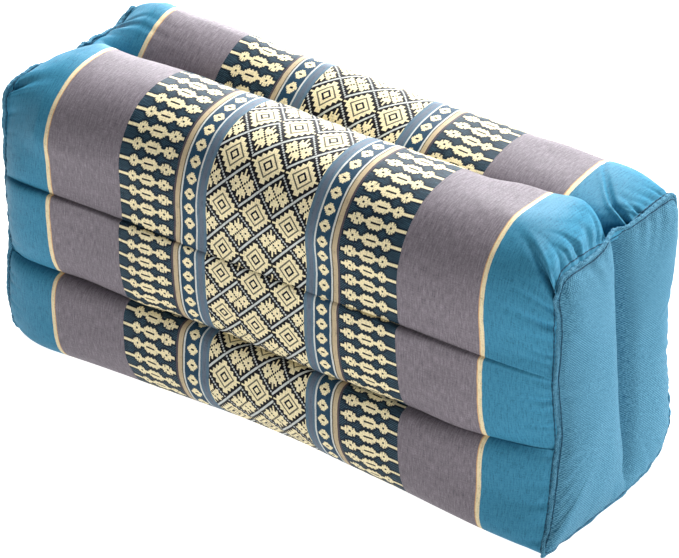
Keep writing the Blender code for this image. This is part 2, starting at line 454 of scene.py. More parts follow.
# The middle section of a channel at each column, y and z apart. Its seams are arched, the first one
# is filled across the figured middle, and then it moves as the tables above say
def shapedSections(channel, side, section, x):
    hand = -1 if side == "front" else 1
    across, up = (np.broadcast_to(part, (len(x), len(section))).copy() for part in section.T)
    lowPart, highPart = zones["arch"]
    arch = archShape(x)[:, None] * smoothStep(up, *lowPart)
    lower, upper = zones["seamBand"]
    seam = smoothStep(up, *lower) * (1 - smoothStep(up, *upper))
    seam = seam * (1 - smoothStep(np.abs(x), *zones["figured"]))[:, None]
    front, slope = zones["seamFront"]
    dip = np.clip(front + slope * (upper[1] - up) - np.abs(across), 0.0, None)
    across += hand * folds["seamFill"] * seam * dip
    up += folds["seamArch"] * arch * smoothStep(-up, *highPart)
    away = np.abs(across)
    groove = zones["grooveFloor"]
    if channel.first == 0:
        filled = np.maximum(up, groove + along(filling, x)[:, None])
        up = np.where(away < zones["grooveHalf"], filled, up)
    if side == "back":
        up += along(backCrest, x)[:, None] * smoothStep(up, *zones["backCrest"])
        inwards = np.clip(zones["innerReach"] - away, 0.0, None) / zones["innerScale"]
        drop = along(innerDrop, x)[:, None] * inwards ** 2
        rise = up - groove
        lowered = np.maximum(up - drop, groove + zones["leastRise"] * rise)
        up = np.where((rise > 0) & (away < zones["innerReach"]), lowered, up)
        distances, heights = zones["backFlank"]
        flank = (1 - smoothStep(away, *distances)) * smoothStep(up, *heights)
        across += along(hollow, x, 0.003)[:, None] * flank
    else:
        distances, heights = zones["frontFlank"]
        flank = (1 - smoothStep(away, *distances)) * smoothStep(up, *heights)
        across *= 1 - along(closing, x)[:, None] * flank
        across += along(leaning, x, 0.004)[:, None] * flank
        distances, heights = zones["shoulder"]
        high = smoothStep(up, *heights) * smoothStep(away, *distances)
        across += hand * along(shoulder, x)[:, None] * high
        up += along(frontCrest, x)[:, None] * smoothStep(up, *zones["frontCrest"])
    distances, heights = zones["lowerEdge"]
    low = 1 - smoothStep(up, *heights)
    low = low * smoothStep(np.abs(across), *distances)
    across += hand * along(lowerEdge, x)[:, None] * low
    return across, up


# How far the cloth moves along its normal: the unevenness, which dies away towards every seam and
# the floor, less the gathers, the dips exp(-((d - place) / width)^2) beside the end seams, and the
# pits |cos(pi x / stitch)|^6 beside the others
def clothOffset(side, x, p, fromSeam, height):
    signed = p if side == "front" else -p
    reach = np.where(x < 0, end["reach"][-1], end["reach"][1])
    toEnd = reach - np.abs(x)
    free = smoothStep(fromSeam, 0.0, folds["edgeFree"])
    calm = free * smoothStep(toEnd, 0.0, folds["endFree"])
    calm = calm * smoothStep(height, *folds["floorFree"])
    offset = calm * folds["swell"] * unevenness(x, signed, folds["swellLength"], seeds["swell"])
    ripple = unevenness(x, signed, folds["rippleLength"], seeds["ripple"])
    offset += calm * folds["ripple"] * ripple
    for endSign in (-1, 1):
        gathered = np.where(np.sign(x) == endSign, gathers(p, toEnd, endSign, side), 0.0)
        offset -= gathered * free * smoothStep(toEnd, -0.001, 0.003)
    dips = folds["valley"] * np.exp(-((toEnd - folds["valleyPlace"]) / folds["valleyWidth"]) ** 2)
    pits = np.abs(np.cos(np.pi * x / folds["stitch"])) ** 6
    pitFade = np.exp(-((fromSeam - folds["pitPlace"]) / folds["pitWidth"]) ** 2)
    dips = dips + folds["stitchPit"] * pits * pitFade
    dips = dips * smoothStep(fromSeam, 0.0, folds["dipFree"])
    return offset - dips * smoothStep(height, *folds["dipHeights"])


# One channel: each section is (1 - e) * middle section + e * end outline, with e from narrowing,
# drawn in at the groove, and then moved along its normal
def channelPoints(channel, side, start):
    hand = -1 if side == "front" else 1
    section = channelSection(channel, side) * (hand, 1)
    x = columnPlaces()
    flat = np.stack(shapedSections(channel, side, section, x), axis=2)
    pull = np.zeros(flat.shape[:2])
    for endSign in (-1, 1):
        near = np.sign(x) == endSign
        outline = evenlySpaced(endOutline(section, endSign), channel.rows + 1)
        share = narrowing(np.abs(x[near])[:, None], section[None, :, 1], endSign, side)
        flat[near] = flat[near] * (1 - share[:, :, None]) + outline[None] * share[:, :, None]
        pull[near] = endSign * seamPull(flat[near][:, :, 0], flat[near][:, :, 1], endSign) * share
    points = np.stack([x[:, None] - pull, flat[:, :, 0], flat[:, :, 1]], axis=2)
    p = start + np.linspace(0.0, channel.cloth, channel.rows + 1)[None]
    fromSeam = np.minimum(p - start, start + channel.cloth - p)
    offset = clothOffset(side, x[:, None], p, fromSeam, points[:, :, 2])
    points = points + gridNormals(points) * -hand * offset[:, :, None]
    points[:, :, 2] = np.maximum(points[:, :, 2], 0.0)
    return points, x, p


# The rows of the pattern don't quite follow the seams: how much further down the cloth each
# channel's rows lie, in millimetres, at 68 mm to the left and to the right, and how much that
# grows with the distance down the cloth from a place
RowShift = namedtuple("RowShift", "place left leftGrowth right rightGrowth")
rowShifts = {
    ("front", "upper"): RowShift(60.0, 4.8, 0.059, 1.7, 0.048),
    ("front", "middle"): RowShift(161.0, 1.2, 0.0, -2.2, 0.075),
    ("front", "lower"): RowShift(222.0, -0.8, 0.0, 0.8, -0.0625),
    ("back", "upper"): RowShift(28.0, -10.9, -0.03, -9.5, -0.02),
    ("back", "middle"): RowShift(138.6, -14.2, 0.0, -11.7, 0.0),
    ("back", "lower"): RowShift(138.6, -14.2, 0.0, -11.7, 0.0),
}


# Where on the length of the pattern a point lies: p less its shift, which runs evenly from the
# left value to the right one
def patternPlace(x, p, side, channel):
    shift = rowShifts[side, channel.name]
    down = p * 1000.0 - shift.place
    left = shift.left + shift.leftGrowth * down
    right = shift.right + shift.rightGrowth * down
    share = np.clip(x / 0.136 + 0.5, -0.2, 1.2)
    return p - (left + (right - left) * share) / 1000.0


def makeChannels(material):
    pieces = []
    grids = {}
    for side in ("front", "back"):
        start = 0.0
        for channel in channels:
            points, x, p = channelPoints(channel, side, start)
            grids[side, channel.name] = points, x
            start += channel.cloth
            across = np.broadcast_to(x[:, None], points.shape[:2])
            down = patternPlace(across, p, side, channel) * (1 if side == "front" else -1)
            spread = np.linspace(0.01, 0.99, points.shape[0])[:, None]
            bakeV = np.linspace(0.01, 0.99, points.shape[1])[None]
            maps = {
                "cloth": np.stack([across, down], axis=2),
                "OFBake": np.stack(np.broadcast_arrays(spread, bakeV), axis=2),
            }
            piece = gridPiece(side + "_" + channel.name + "_channel", points, maps, flip=side == "back")
            piece.data.materials.append(material)
            pieces.append(piece)
    return pieces, grids


# The end panels: rings of the outline drawn in to the middle, each an upright pair of lobes

panel = dict(
    rings=120,
    around=460,
    creaseRise={"front": 0.0280, "back": 0.0460},   # over which a lobe rises from the crease
    creaseShape={"front": (2.2, 0.55), "back": (1.3, 0.90)},
    creaseDepth=0.0060,
    creaseWidth={"front": 0.0020, "back": 0.0060},
    creaseDrift=0.0060,        # how far the crease leans to the back at the floor
    least=0.12,                # what is left of a lobe's height at the crease, as a share
    rim=0.0004,                # how far inside the end seam the panel starts
    swell=0.0006,              # slow unevenness of the filling
    swellLength=0.06,
    wrinkle=0.00018,
    wrinkleLength=0.022,
    calmRim=0.10,              # share of the way in over which both of them begin
    gather=0.00045,            # short folds that run in from the end seam
    gatherLength=0.0110,
    gatherSpacing=0.009,
    gatherFree=0.003,
    valley=0.0006,             # dip beside the roll of the end seam
    valleyPlace=0.0018,
    valleyWidth=0.0010,
    bakeSize=(0.13, 0.17),     # what the map for the bake covers, in metres
)


# The outline of a whole end as one closed loop of evenly spaced points
def closedOutline(endSign, count):
    curve = endCurve[endSign]
    return evenlySpaced(np.vstack([curve, curve[:1]]), count + 1)[:-1]


# The distance round a closed outline to each of its points, and the whole way round
def distanceRound(outline):
    steps = np.hypot(*(np.roll(outline, -1, axis=0) - outline).T)
    return np.concatenate([[0.0], np.cumsum(steps)[:-1]]), steps.sum()


# How far a lobe stands out. It rises from the crease as (1 - (1 - d / rise)^a)^b, with d the
# distance from it and a, b the creaseShape, and falls to the rim as (1 - s^4)^0.6, with s 1 there.
# The crease sinks by depth exp(-(d / width)^2), but not on the floor or at the rim
def lobeHeight(across, up, share):
    crease = panel["creaseDrift"] * (1 - smoothStep(up, 0.0, 0.110))
    front = across < crease
    distance = np.abs(across - crease)
    fromCrease = 0
    for side, here in (("front", front), ("back", ~front)):
        a, b = panel["creaseShape"][side]
        rise = np.clip(1 - distance / panel["creaseRise"][side], 0.0, 1.0)
        fromCrease = fromCrease + here * (1 - rise ** a) ** b
    toRim = (1 - np.clip(share, 0.0, 1.0) ** 4.0) ** 0.6
    bulge = np.where(front, end["lobeBulge"]["front"], end["lobeBulge"]["back"])
    free = smoothStep(up, 0.004, 0.030) * smoothStep(1 - share, 0.0, 0.08)
    width = np.where(front, panel["creaseWidth"]["front"], panel["creaseWidth"]["back"])
    sink = panel["creaseDepth"] * np.exp(-(distance / width) ** 2) * free
    full = panel["least"] + (1 - panel["least"]) * fromCrease
    full = full + (1 - full) * (1 - smoothStep(up, 0.002, 0.022))
    return bulge * full * toRim - sink


# One end panel, as rings of the outline drawn in to the middle by equal shares. Each point stands
# out by its lobe, the unevenness and the gathers of the rim
def makePanel(word, hand, material):
    outline = closedOutline(hand, panel["around"])
    centre = np.array([0.0, end["middle"]])
    share = np.linspace(1.0, 0.0, panel["rings"])
    rings = (outline - centre)[None] * share[:, None, None] + centre
    across, up = rings[:, :, 0], rings[:, :, 1]
    shareGrid = np.broadcast_to(share[:, None], across.shape)
    inside = smoothStep(1 - share, 0.0, panel["calmRim"])[:, None]
    wrinkles = unevenness(across, up, panel["wrinkleLength"], seeds["panelWrinkle"])
    filled = unevenness(across, up, panel["swellLength"], seeds["panelSwell"])
    swell = lobeHeight(across, up, shareGrid)
    swell = swell + inside * panel["wrinkle"] * wrinkles + inside * panel["swell"] * filled
    around = distanceRound(outline)[0][None]
    toRim = np.hypot(*(rings - outline[None]).transpose(2, 0, 1))
    fold = unevenness(around, 0 * around, panel["gatherSpacing"], seeds["panelGathers"] + hand)
    fade = np.exp(-(toRim / panel["gatherLength"]) ** 1.5)
    swell = swell + panel["gather"] * fold * fade * smoothStep(toRim, 0.0, panel["gatherFree"])
    valley = np.exp(-((toRim - panel["valleyPlace"]) / panel["valleyWidth"]) ** 2)
    swell = swell - panel["valley"] * valley
    place = end["reach"][hand] - panel["rim"] - seamPull(across, up, hand) + swell
    points = np.stack([hand * place, across, up], axis=2)
    width, height = panel["bakeSize"]
    bake = np.stack([across / width + 0.5, up / height + 0.03], axis=2)
    cloth = np.stack([across, up], axis=2)
    maps = {"cloth": closeLoop(cloth), "OFBake": closeLoop(bake)}
    piece = gridPiece("end_panel_cloth_" + word, points, maps, flip=hand < 0, closed=True)
    piece.data.materials.append(material)
    return piece, points


# A grid with its first column repeated after its last, for the UVs of a closed piece
def closeLoop(grid):
    return np.concatenate([grid, grid[:, :1]], axis=1)


# The end seams: a rolled edge with an oval section, drawn in at each stitch

welt = dict(
    width=0.0021,
    rise=0.0016,
    sides=14,
    around=760,
    stitch=0.0036,       # distance between stitches
    dip=0.30,            # how far a stitch draws the roll in, as a share of its rise
    uneven=0.12,         # how much its rise varies, as a share
    unevenLength=0.03,
    sway=0.00045,        # to both sides
    swayLength=0.012,
    least=0.0002,        # it lies this far above the floor
    bakeWidth=0.008,     # of the map's strip
)


# Rings round the oval: out = rise (0.42 + 0.58 sin a) (1 - dip cos^8(pi s / stitch)),
# place = width / 2 cos a + sway, with s the distance round the end. For the bake the roll is laid
# out in four rows
def makeWelt(word, hand, material):
    base = closedOutline(hand, welt["around"])
    around, total = distanceRound(base)
    pitch = total / round(total / welt["stitch"])
    tangent = np.roll(base, -1, axis=0) - np.roll(base, 1, axis=0)
    tangent = tangent / np.linalg.norm(tangent, axis=1)[:, None]
    normal = np.column_stack([tangent[:, 1], -tangent[:, 0]])
    if (normal * (base - (0.0, end["middle"]))).sum() < 0:
        normal = -normal
    turns = np.linspace(0.0, 2 * np.pi, welt["sides"], endpoint=False)[:, None]
    dip = 1 - welt["dip"] * np.abs(np.cos(np.pi * around / pitch)) ** 8
    slow = unevenness(around, 0 * around, welt["unevenLength"], seeds["rollRise"] + hand)
    rise = welt["rise"] * dip * (1 + welt["uneven"] * slow)
    out = (0.42 + 0.58 * np.sin(turns)) * rise
    stray = unevenness(around, 0 * around, welt["swayLength"], seeds["rollSway"] + hand)
    sway = welt["sway"] * stray
    place = 0.5 * welt["width"] * np.cos(turns) + sway - seamPull(base[:, 0], base[:, 1], hand)
    flat = base[None] + normal[None] * out[:, :, None]
    flat[:, :, 1] = np.maximum(flat[:, :, 1], welt["least"])
    points = np.stack([hand * (end["reach"][hand] + place), flat[:, :, 0], flat[:, :, 1]], axis=2)
    points = np.transpose(points, (1, 0, 2))
    closed = np.concatenate([points, points[:1]], axis=0)
    aroundUv = np.concatenate([around, [total]])
    u = np.broadcast_to(aroundUv[:, None], (len(aroundUv), welt["sides"] + 1))
    v = np.broadcast_to(np.linspace(0, welt["bakeWidth"], welt["sides"] + 1)[None], u.shape)
    row = np.floor(u / total * 3.999)
    bakeU = 0.01 + (u / total * 4 - row) * 0.97
    bakeV = (row + 0.03) / 4 + v / welt["bakeWidth"] * 0.22
    bake = np.stack([bakeU, bakeV], axis=2)
    maps = {"cloth": np.stack([u, v], axis=2), "OFBake": bake}
    piece = gridPiece("end_seam_roll_" + word, closed, maps, flip=hand > 0, closed=True)
    piece.data.materials.append(material)
    return piece


# The stitching on both sides of each end seam. Its dark thread is partly real stitching and partly painted
# shade for the dark lines beside the seam roll

stitching = dict(
    fromSeam=0.0007,      # how far from the end seam the wrap's line runs
    ring=2,               # ring of the panel that carries the other line
    thickness=0.00036,
    stitch=0.0030,
    thin=0.45,            # how thin the thread gets where it dips, as a share
    count=1200,           # of rings
    sides=6,
    mapWidth=0.003,
)


# The column of the wrap that lies fromSeam away from an end seam, all the way round: down the
# front and up the back
def seamLine(grids, hand):
    line = []
    for side, order in (("front", 1), ("back", -1)):
        for channel in channels[::order]:
            points, x = grids[side, channel.name]
            toEnd = np.abs(hand * x - end["reach"][hand] + stitching["fromSeam"])
            line.append(points[np.argmin(toEnd)][::order])
    return np.vstack(line)


# A closed thread along a line: rings of radius thickness (1 - thin cos^6(pi s / stitch)), with
# s the distance along it, in the plane of the line's normal and the cushion's length
def threadRings(line):
    line = evenlySpaced(np.vstack([line, line[:1]]), stitching["count"] + 1)[:-1]
    tangent = np.roll(line, -1, axis=0) - np.roll(line, 1, axis=0)
    tangent = tangent / np.linalg.norm(tangent, axis=1)[:, None]
    out = np.cross(tangent, (1.0, 0.0, 0.0))
    out = out / np.linalg.norm(out, axis=1)[:, None]
    other = np.cross(tangent, out)
    steps = np.linalg.norm(np.roll(line, -1, axis=0) - line, axis=1)
    s = np.cumsum(steps)
    pitch = s[-1] / round(s[-1] / stitching["stitch"])
    radius = stitching["thickness"] * (1 - stitching["thin"] * np.cos(np.pi * s / pitch) ** 6)
    turns = np.linspace(0.0, 2 * np.pi, stitching["sides"], endpoint=False)[None, :, None]
    spoke = np.cos(turns) * out[:, None] + np.sin(turns) * other[:, None]
    rings = line[:, None] + radius[:, None, None] * spoke
    return np.concatenate([rings, rings[:1]], axis=0), np.concatenate([s, s[-1:]])


def makeStitching(word, hand, lines, material):
    pieces = []
    for name, line in zip(("wrap", "panel"), lines):
        rings, s = threadRings(line)
        u = np.broadcast_to(s[:, None], (len(s), stitching["sides"] + 1))
        turn = np.linspace(0, stitching["mapWidth"], stitching["sides"] + 1)
        v = np.broadcast_to(turn[None], u.shape)
        maps = {"cloth": np.stack([u, v], axis=2)}
        piece = gridPiece("stitching_" + name + "_" + word, rings, maps, closed=True)
        piece.data.materials.append(material)
        pieces.append(piece)
    return pieces


# Materials

# Linear colour from the 0 to 255 numbers of a picture: ((c + 0.055) / 1.055)^2.4
def colour(red, green, blue):
    shares = [value / 255 for value in (red, green, blue)]
    linear = [s / 12.92 if s <= 0.04045 else ((s + 0.055) / 1.055) ** 2.4 for s in shares]
    return (*linear, 1.0)


# A value in a material. Its operators add Math nodes.
class Value:
    def __init__(self, shader, socket):
        self.shader = shader
        self.socket = socket

    def __add__(self, other):
        return self.shader.maths("ADD", self, other)

    __radd__ = __add__

    def __sub__(self, other):
        return self.shader.maths("SUBTRACT", self, other)

    def __rsub__(self, other):
        return self.shader.maths("SUBTRACT", other, self)

    def __mul__(self, other):
        return self.shader.maths("MULTIPLY", self, other)

    __rmul__ = __mul__

    def __truediv__(self, other):
        return self.shader.maths("DIVIDE", self, other)

    def __mod__(self, other):
        return self.shader.maths("FLOORED_MODULO", self, other)

    def __gt__(self, other):
        return self.shader.maths("GREATER_THAN", self, other)

    def __lt__(self, other):
        return self.shader.maths("LESS_THAN", self, other)

    def __abs__(self):
        return self.shader.maths("ABSOLUTE", self)

    def __pow__(self, other):
        return self.shader.maths("POWER", self, other)

    def floor(self):
        return self.shader.maths("FLOOR", self)

    def fraction(self):
        return self.shader.maths("FRACT", self)

    def sine(self):
        return self.shader.maths("SINE", self)

    def near(self, middle, reach):
        return self.shader.maths("COMPARE", self, middle, reach)

    def between(self, low, high):
        return self.near((low + high) / 2, (high - low) / 2)

    def either(self, other):
        return self.shader.maths("MAXIMUM", self, other)

    def both(self, other):
        return self.shader.maths("MINIMUM", self, other)

    def clipped(self, low, high):
        return self.either(low).both(high)


# One material's node tree, and the ways to add to it
class Shader:
    def __init__(self, name):
        self.material = bpy.data.materials.new(name)
        self.material.use_nodes = True
        self.tree = self.material.node_tree
        self.surface = self.tree.nodes["Principled BSDF"]

    def node(self, kind, settings=None, values=None):
        made = self.tree.nodes.new(kind)
        for key, setting in (settings or {}).items():
            setattr(made, key, setting)
        for key, value in (values or {}).items():
            self.feed(made.inputs[key], value)
        return made

    def feed(self, socket, value):
        if isinstance(value, Value):
            self.tree.links.new(value.socket, socket)
        elif isinstance(value, bpy.types.NodeSocket):
            self.tree.links.new(value, socket)
        else:
            socket.default_value = value

    def maths(self, operation, *values):
        made = self.node("ShaderNodeMath", {"operation": operation}, dict(enumerate(values)))
        return Value(self, made.outputs[0])

    def mix(self, share, first, second, blend="MIX"):
        settings = {"data_type": "RGBA", "blend_type": blend}
        made = self.node("ShaderNodeMix", settings, {0: share, 6: first, 7: second})
        return made.outputs[2]

    def noise(self, vector, scale, detail):
        values = {"Vector": vector, "Scale": scale, "Detail": detail}
        return Value(self, self.node("ShaderNodeTexNoise", {}, values).outputs["Fac"])

    def vector(self, x, y):
        return self.node("ShaderNodeCombineXYZ", {}, {0: x, 1: y}).outputs[0]

    def uv(self, name):
        place = self.node("ShaderNodeUVMap", {"uv_map": name}).outputs[0]
        parts = self.node("ShaderNodeSeparateXYZ", {}, {0: place})
        return Value(self, parts.outputs[0]), Value(self, parts.outputs[1])

    def bump(self, height, distance):
        return self.node("ShaderNodeBump", {}, {"Height": height, "Distance": distance}).outputs[0]

    def constants(self, **values):
        for key, value in values.items():
            self.surface.inputs[key.replace("_", " ")].default_value = value


# The weave of both cloths, in metres
weave = dict(
    thread=0.00042,      # distance between threads
    depth=0.00006,       # of the bumps
    slub=0.35,           # how much of them comes from uneven threads
    twill=0.00066,       # distance between the dots of the plain cloth's twill
)

plain = dict(
    deepBlue=colour(30, 84, 112),
    paleBlue=colour(92, 148, 172),
    # the sewing thread: dark in part as painted shade beside the end seams, and its painted shade between
    # the turns of the twist
    thread=colour(40, 92, 120),
    threadShade=colour(10, 34, 52),
    twist=0.0009,        # distance between the turns of the sewing thread
    across=1500.0,       # scale of the noise across the cloth's threads
    length=420.0,        # and along them
    speck=1700.0,
    cloudy=60.0,
    streaks=0.9,         # how much the streaks of the threads show
    specks=1.1,
    dots=0.62,
    contrast=0.9,
    roughness=0.75,
    specular=0.15,
)


# Height of a weave at (x, y) in metres: sin(pi x / t) sin(pi y / t), with t the thread's width
def weaveHeight(x, y, thread):
    return (x * (math.pi / thread)).sine() * (y * (math.pi / thread)).sine()


def plainCloth():
    shader = Shader("plain blue cloth")
    x, y = shader.uv("cloth")
    place = shader.vector(x, y)
    across, length = plain["across"], plain["length"]
    streakX = shader.noise(shader.vector(x * across, y * length), 1.0, 1.0)
    streakY = shader.noise(shader.vector(x * length, y * across), 1.0, 1.0)
    speck = shader.noise(place, plain["speck"], 0.0)
    cloudy = shader.noise(place, plain["cloudy"], 3.0)
    twill = weaveHeight(x, y, weave["twill"]) * (cloudy * 3.0 - 0.7).clipped(0.15, 1.0)
    fine = (streakX + streakY - 1.0) * plain["streaks"] + (speck - 0.5) * plain["specks"]
    fine = fine + twill * plain["dots"]
    depth = (0.5 - fine * plain["contrast"]).clipped(0.0, 1.0)
    tint = shader.mix(depth, plain["paleBlue"], plain["deepBlue"])
    wearAndFloatShade = ((cloudy - 0.45) * 1.2).clipped(0.0, 1.0) * 0.2
    tint = shader.mix(wearAndFloatShade, tint, plain["paleBlue"])
    height = twill * 0.8 + (streakX + streakY) * 0.2
    shader.feed(shader.surface.inputs["Base Color"], tint)
    shader.feed(shader.surface.inputs["Normal"], shader.bump(height, weave["depth"]))
    shader.constants(Roughness=plain["roughness"], Specular_IOR_Level=plain["specular"])
    return shader.material


# The sewing thread, striped along its twist with painted shade between the turns
def threadCloth():
    shader = Shader("sewing thread")
    s, turn = shader.uv("cloth")
    twist = ((s + turn) * (math.pi / plain["twist"])).sine()
    light = (twist * 0.4 + 0.5).clipped(0.0, 1.0)
    tint = shader.mix(light, plain["thread"], plain["threadShade"])
    shader.feed(shader.surface.inputs["Base Color"], tint)
    shader.constants(Roughness=0.7, Specular_IOR_Level=0.2)
    return shader.material


# The patterned wrap. Distances along the cushion are in millimetres from its middle, and the
# figures are charted in units of one pick.

wrap = dict(
    unit=1.0394,             # a unit of the charts along the cushion
    row=8.45,                # distance down the cloth between rows of figures
    rowUnits=8.0,            # units of the charts in a row
    rowStart=6.8,            # rows between the groove's stitches and the first whole row
    stray=0.35,              # how far the threads stray along the cushion
    rowStray=0.035,          # and down the cloth, in rows
    hatch=1.3,               # distance between the slanting threads of the dark ground
    hatchShare=0.7,          # how strongly they show
    closeGround=0.8,         # how far round the figures the ground is deeper, in units
    closeShare=0.65,
    slateMiddle=(33.0, 35.6),    # the part of the slate stripe that is nearer to mauve
    slateShare=0.7,
    # painted shade at the sides of each light thread
    floatSideShade=0.42,         # how dark the sides of each light thread are
    floatSpecks=0.5,
    dotShare=0.85,           # how dark the dots of the lattice are
    beadGap=0.6,             # and the gaps between the beads of its lines
    shadeShare=0.75,         # how strongly dye runs dark, then pale on the mauve and the blue
    mauveShare=0.5,
    blueShare=0.35,
    blue=colour(58, 127, 157),
    bluePale=colour(92, 156, 184),
    mauve=colour(122, 115, 122),
    mauvePale=colour(168, 160, 168),
    shade=(0.42, 0.42, 0.44, 1.0),
    cream=colour(252, 240, 198),
    edging=colour(228, 212, 172),
    # cream in painted shade at the sides of the floats, also used for their darker specks
    creamDark=colour(186, 160, 104),
    orange=colour(212, 166, 118),
    navy=colour(34, 50, 62),
    navyDeep=colour(16, 22, 34),
    teal=colour(84, 122, 142),
    slate=colour(90, 116, 134),
    slateMauve=colour(104, 110, 124),
    tan=colour(192, 174, 142),
    olive=colour(112, 104, 84),
    umber=colour(84, 74, 80),
    white=colour(206, 210, 206),
    beadGround=colour(40, 70, 92),
    ink=colour(22, 22, 28),
    roughness=0.52,
    specular=0.08,
)

# Charted figures, in units: each box is where it begins and ends along the cushion from the
# figure's middle, and how far it reaches up and down the cloth
Box = namedtuple("Box", "low high near far")
chainCentre = 68.6
chainLight = (
    Box(-17.6, -11.4, 0.0, 0.75),    # bar
    Box(-11.5, -7.0, 0.0, 1.7),      # rosette
    Box(-10.7, -10.0, 1.7, 2.5),
    Box(-9.7, -8.5, 1.7, 2.9),
    Box(-8.2, -7.5, 1.7, 2.5),
    Box(-7.1, -5.2, 0.0, 0.9),       # link
    Box(-5.3, 4.7, 0.0, 0.9),        # hexagon
    Box(-4.6, 4.0, 0.9, 1.9),
    Box(-3.6, 2.9, 1.8, 2.6),
    Box(-2.9, -2.1, 2.6, 3.1),
    Box(-0.9, 0.0, 2.6, 3.1),
    Box(1.3, 2.2, 2.6, 3.1),
    Box(4.6, 6.5, 0.0, 0.7),         # link
    Box(6.4, 12.9, 0.0, 1.2),        # flower
    Box(6.9, 8.0, 1.2, 2.2),
    Box(8.5, 11.1, 1.2, 2.7),
    Box(11.6, 12.6, 1.2, 2.2),
    Box(12.9, 15.0, 0.0, 0.8),       # tip
)
chainDark = (
    Box(-9.6, -8.6, 0.0, 0.5),
    Box(-3.4, 2.0, 0.0, 0.42),
    Box(9.2, 10.4, 0.0, 0.5),
)
beadCentre = 42.0
beadLight = (
    Box(-3.1, 3.1, 0.0, 0.7),
    Box(-2.4, 2.4, 0.6, 1.4),
    Box(-1.8, 1.8, 1.3, 2.1),
    Box(-1.1, 1.1, 2.0, 2.9),
)
beadDark = (Box(-0.9, 0.9, 0.0, 0.45),)
latticeHalf = 31.18

# Stripes along the cushion, as distances from its middle in millimetres, from the middle out
Stripe = namedtuple("Stripe", "inner outer colour")
stripes = (
    Stripe(latticeHalf, 36.9, "slate"),
    Stripe(36.9, 37.9, "white"),
    Stripe(37.9, 46.6, "beadGround"),
    Stripe(46.6, 47.6, "white"),
    Stripe(47.6, 48.3, "olive"),
    Stripe(48.3, 50.9, "tan"),
    Stripe(50.9, 52.1, "umber"),
    Stripe(52.1, 87.0, "navy"),
    Stripe(87.0, 132.6, "mauve"),
    Stripe(132.6, 133.1, "orange"),
    Stripe(133.1, 135.3, "edging"),
    Stripe(135.3, 200.0, "blue"),
)
bands = {stripe.colour: (stripe.inner, stripe.outer) for stripe in stripes}


# 1 inside any of the boxes
def figure(boxes, across, away):
    total = None
    for box in boxes:
        inside = across.between(box.low, box.high) * away.between(box.near, box.far)
        total = inside if total is None else total.either(inside)
    return total


# A flower of the lattice, charted by row away from its middle: the runs of units, from its
# middle outwards, that show light
flowerRows = {
    0: ((4.5, 7.5), (0.5, 3.5)),
    1: ((1.5, 6.5), (-0.5, 0.5)),
    2: ((2.5, 5.5), (-0.5, 1.5)),
    3: ((3.5, 5.5), (-0.5, 2.5)),
    4: ((-0.5, 2.5),),
    5: ((-0.5, 0.5), (1.5, 2.5)),
    6: ((-0.5, 0.5),),
    7: ((-0.5, 0.5),),
}


# The lattice of the figured middle, in units
lattice = dict(
    across=20.0,         # size of a square along the cushion
    down=24.0,           # and down the cloth
    middle=15.0,         # how far below a row of figures the middle of a square lies
    line=12.0,           # how far the lines round a square lie from its middle
    whole=0.75,          # half the width of the whole lines
    beaded=0.4,          # and of the beaded ones
    core=8.5,            # how far the light inside them reaches
    teeth=9.9,           # and its teeth, on every other row
    ring=(1.7, 3.0),     # the dark ring round the middle
    dots=(5.0, 6.1),     # and the square of dots round that
    flower=12.5,         # where the corner of a flower begins
)


# Masks of the lattice, by the distance x + s from the middle of a square, in whole units for all
# but the ring, the dots and the whole lines. These run one way, and the beaded lines the other
def latticeMasks(units, rows, signedUnits):
    halfAcross, halfDown = lattice["across"] / 2, lattice["down"] / 2
    x = (units + 0.5).floor()
    column = abs((x + halfAcross) % lattice["across"] - halfAcross)
    down = rows * wrap["rowUnits"]
    s = (down - lattice["middle"] + 0.5).floor()
    row = abs((s + halfDown) % lattice["down"] - halfDown)
    total = column + row
    odd = row % 2.0
    square = (total < lattice["core"]).either((1.0 - odd) * (total < lattice["teeth"]))
    aside = (signedUnits + halfAcross) % lattice["across"] - halfAcross
    below = (down - (lattice["middle"] - halfDown)) % lattice["down"] - halfDown
    slant = abs(aside) + abs(below)
    ring = slant.between(*lattice["ring"])
    dots = slant.between(*lattice["dots"])
    beaded = total.near(lattice["line"], lattice["beaded"]) * (row > 1.5)
    whole = slant.near(lattice["line"], lattice["whole"]) * (aside * below > 0.0)
    fromFlower = halfAcross - column
    flowerRow = halfDown - row
    flower = None
    for number, runs in flowerRows.items():
        light = None
        for low, high in runs:
            run = fromFlower.between(low, high)
            light = run if light is None else light.either(run)
        light = light * flowerRow.near(number, 0.4)
        flower = light if flower is None else flower.either(light)
    flower = flower * (total > lattice["flower"])
    return square, ring, dots, beaded, whole, flower


